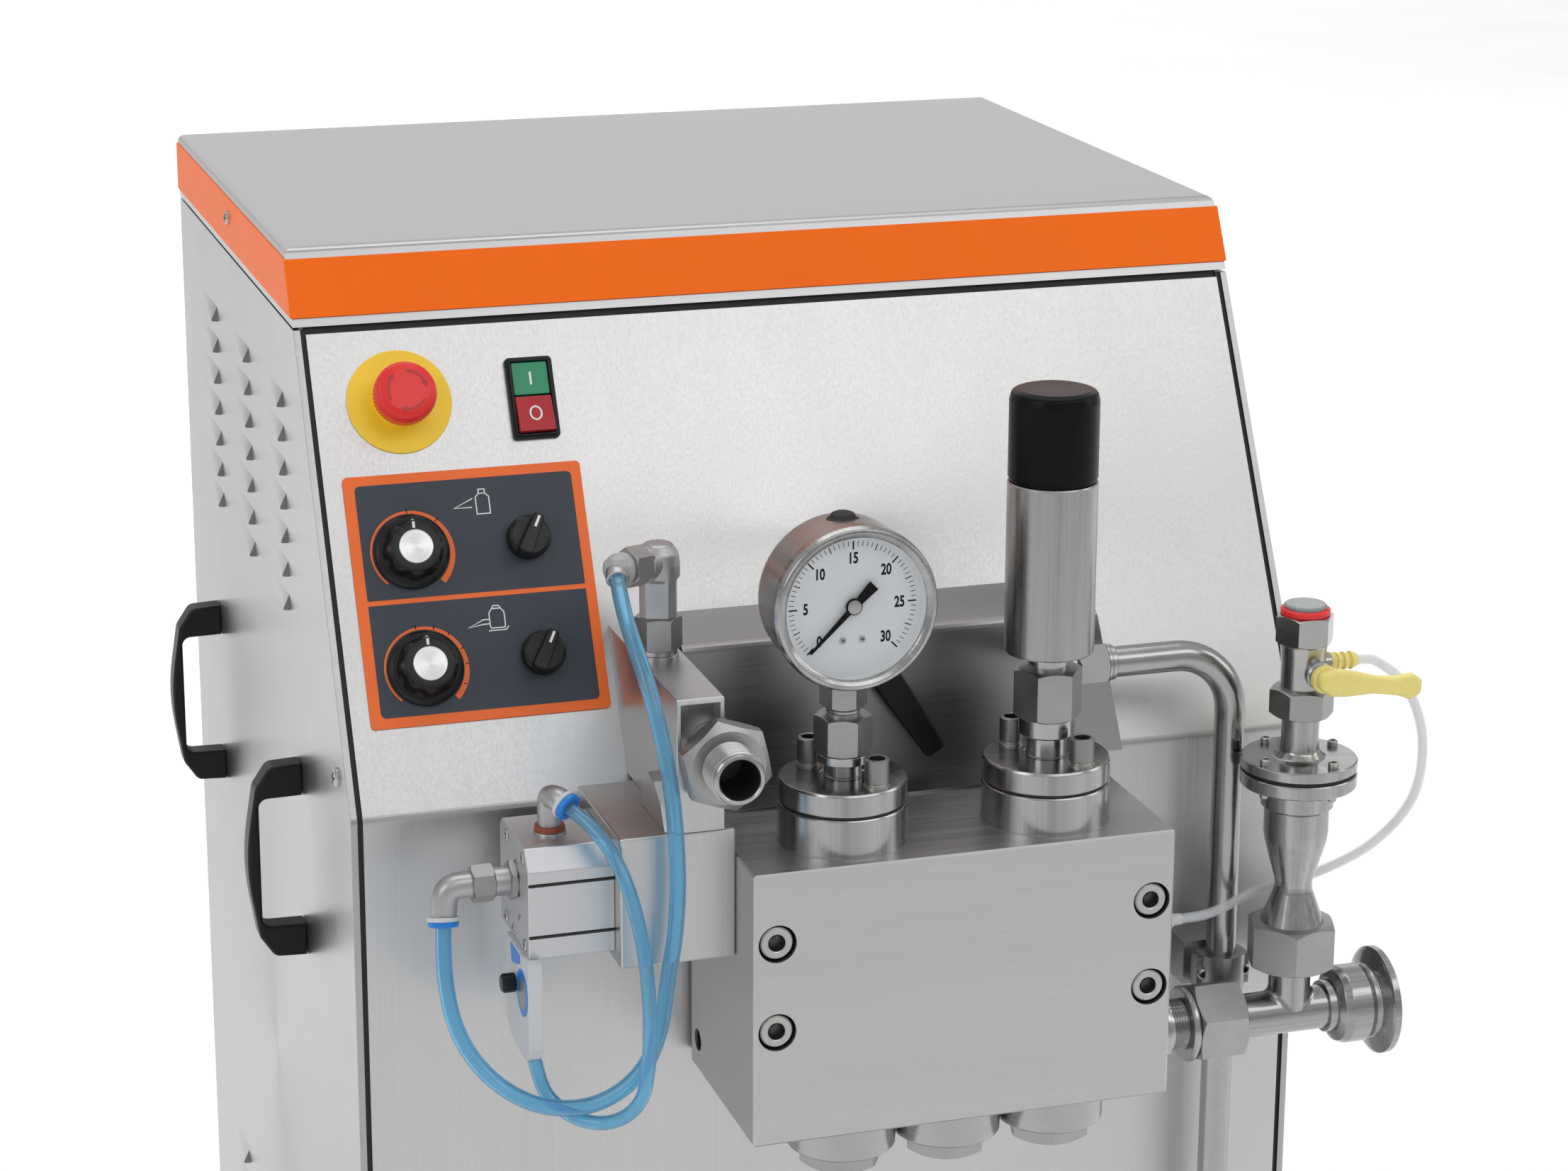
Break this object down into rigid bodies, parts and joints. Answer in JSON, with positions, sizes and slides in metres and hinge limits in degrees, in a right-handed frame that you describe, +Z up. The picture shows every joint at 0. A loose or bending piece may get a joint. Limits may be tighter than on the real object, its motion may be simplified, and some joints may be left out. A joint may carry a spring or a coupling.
{
  "type": "dairy homogenizer",
  "caption": "Floor-standing dairy homogenizer: sheet-steel cabinet with sloped control front, plunger pump head, pressure gauge, relief valve and air-loaded homogenizing valve.",
  "frame": {"origin": "on the floor under the middle of the outline without the hose", "axes": "+Z up, front with the pump head towards -Y, +X towards the product inlet"},
  "size_m": [0.6649, 0.708, 1.15],
  "materials": {
    "steel_panel": "vertical brushed stainless sheet",
    "steel_machined": "fine turned and ground stainless",
    "aluminium_body": "satin anodised",
    "orange_paint": "semi-gloss orange",
    "black_plastic": "satin black moulding",
    "black_gloss": "smooth black",
    "red_plastic": "gloss red",
    "green_plastic": "gloss green",
    "yellow_plate": "yellow disc",
    "yellow_plastic": "pale yellow moulding",
    "white_plastic": "milky moulding",
    "seal_rubber": "black rubber",
    "gauge_pane": "clear",
    "blue_tube": "translucent blue",
    "clear_tube": "clear",
    "motor_paint": "blue grey paint",
    "crankcase_iron": "as cast, painted inside",
    "foot_steel": "steel stem on a dark pad"
  },
  "bodies": {
    "machine": {"base_frame": "steel_panel", "levelling_feet": "foot_steel", "left_side_panel": "steel_panel", "right_side_panel": "steel_panel", "rear_panel": "steel_panel", "front_panel": "steel_panel", "top_cover": "steel_panel", "orange_band": "orange_paint", "side_handles": "black_plastic", "plunger_hood": "steel_panel", "control_plate": "orange_paint", "estop_plate": "yellow_plate", "switch_frame": "black_plastic", "pump_head": "steel_machined", "gaskets": "seal_rubber", "cap_screws": "steel_machined", "port_flanges": "steel_machined", "port_couplings": "steel_machined", "suction_plugs": "steel_machined", "gauge_case": "steel_machined", "gauge_glass": "gauge_pane", "relief_body": "steel_machined", "relief_pipe": "steel_machined", "pipe_clamp": "steel_machined", "valve_housing": "steel_machined", "outlet_block": "steel_machined", "outlet_union": "steel_machined", "air_cylinder": "aluminium_body", "air_fittings": "steel_machined", "regulator": "white_plastic", "inlet_unions": "steel_machined", "inlet_tee": "steel_machined", "venturi": "steel_machined", "vent_riser": "steel_machined", "vent_valve": "steel_machined", "vent_cap": "red_plastic", "hose_barbs": "yellow_plastic", "air_tube_1": "blue_tube", "air_tube_2": "blue_tube", "clear_hose": "clear_tube", "motor": "motor_paint", "crankcase": "crankcase_iron"},
    "hood_lever_body": {"hood_lever": "black_plastic"},
    "estop_stem_body": {"estop_stem": "steel_machined"},
    "estop_head_body": {"estop_head": "red_plastic"},
    "start_button_body": {"start_button": "green_plastic"},
    "stop_button_body": {"stop_button": "red_plastic"},
    "upper_dial_body": {"upper_dial": "black_plastic"},
    "lower_dial_body": {"lower_dial": "black_plastic"},
    "upper_selector_body": {"upper_selector": "black_plastic"},
    "lower_selector_body": {"lower_selector": "black_plastic"},
    "gauge_pointer_body": {"gauge_pointer": "black_gloss"},
    "relief_cap_body": {"relief_cap": "black_gloss"},
    "air_piston_body": {"air_piston": "steel_machined"},
    "regulator_knob_body": {"regulator_knob": "black_plastic"},
    "vent_lever_body": {"vent_lever": "yellow_plastic"},
    "crankshaft_body": {"crankshaft": "steel_machined"},
    "plunger_1_body": {"plunger_1": "steel_machined"},
    "plunger_2_body": {"plunger_2": "steel_machined"},
    "plunger_3_body": {"plunger_3": "steel_machined"}
  },
  "joints": [
    {"name": "hood_lever_turn", "type": "hinge", "parent": "machine", "child": "hood_lever_body", "pos_m": [0.0094, -0.232, 0.929], "axis": [0, 1, 0], "range_deg": [-60, 60]},
    {"name": "estop_press", "type": "slide", "parent": "machine", "child": "estop_stem_body", "axis": [0, -0.8835, 0.4684], "range_m": [-0.005, 0]},
    {"name": "estop_twist", "type": "hinge", "parent": "estop_stem_body", "child": "estop_head_body", "pos_m": [-0.234, -0.10864, 1.0658], "axis": [0, -0.8835, 0.4684], "range_deg": [-45, 0], "stiffness_Nm_per_rad": 0.3},
    {"name": "start_press", "type": "slide", "parent": "machine", "child": "start_button_body", "axis": [0, -0.8835, 0.4684], "range_m": [-0.003, 0], "stiffness_N_per_m": 600},
    {"name": "stop_press", "type": "slide", "parent": "machine", "child": "stop_button_body", "axis": [0, -0.8835, 0.4684], "range_m": [-0.003, 0], "stiffness_N_per_m": 600},
    {"name": "upper_dial_turn", "type": "hinge", "parent": "machine", "child": "upper_dial_body", "pos_m": [-0.2378, -0.15004, 0.9877], "axis": [0, -0.8835, 0.4684], "range_deg": [-270, 0]},
    {"name": "lower_dial_turn", "type": "hinge", "parent": "machine", "child": "lower_dial_body", "pos_m": [-0.2378, -0.18159, 0.9282], "axis": [0, -0.8835, 0.4684], "range_deg": [-270, 0]},
    {"name": "upper_selector_turn", "type": "hinge", "parent": "machine", "child": "upper_selector_body", "pos_m": [-0.1698, -0.14882, 0.99], "axis": [0, -0.8835, 0.4684], "range_deg": [0, 60]},
    {"name": "lower_selector_turn", "type": "hinge", "parent": "machine", "child": "lower_selector_body", "pos_m": [-0.1698, -0.18042, 0.9304], "axis": [0, -0.8835, 0.4684], "range_deg": [0, 60]},
    {"name": "gauge_pointer_turn", "type": "hinge", "parent": "machine", "child": "gauge_pointer_body", "pos_m": [-0.031, -0.324, 0.9885], "axis": [0, 1, 0], "range_deg": [0, 270], "stiffness_Nm_per_rad": 0.004},
    {"name": "relief_cap_turn", "type": "hinge", "parent": "machine", "child": "relief_cap_body", "pos_m": [0.0895, -0.3075, 1.07], "axis": [0, 0, 1], "range_deg": [-180, 180]},
    {"name": "air_piston_stroke", "type": "slide", "parent": "machine", "child": "air_piston_body", "axis": [1, 0, 0], "range_m": [-0.006, 0.004]},
    {"name": "regulator_knob_turn", "type": "hinge", "parent": "machine", "child": "regulator_knob_body", "pos_m": [-0.215, -0.283, 0.776], "axis": [1, 0, 0], "range_deg": [-180, 180]},
    {"name": "vent_lever_turn", "type": "hinge", "parent": "machine", "child": "vent_lever_body", "pos_m": [0.2578, -0.316, 0.916], "axis": [0, 1, 0], "range_deg": [-90, 0]},
    {"name": "crankshaft_spin", "type": "hinge", "parent": "machine", "child": "crankshaft_body", "pos_m": [0.03, -0.084, 0.765], "axis": [1, 0, 0], "continuous": true},
    {"name": "plunger_1_stroke", "type": "slide", "parent": "machine", "child": "plunger_1_body", "axis": [0, 1, 0], "range_m": [-0.01, 0.01]},
    {"name": "plunger_2_stroke", "type": "slide", "parent": "machine", "child": "plunger_2_body", "axis": [0, 1, 0], "range_m": [-0.01, 0.01]},
    {"name": "plunger_3_stroke", "type": "slide", "parent": "machine", "child": "plunger_3_body", "axis": [0, 1, 0], "range_m": [-0.01, 0.01]}
  ]
}
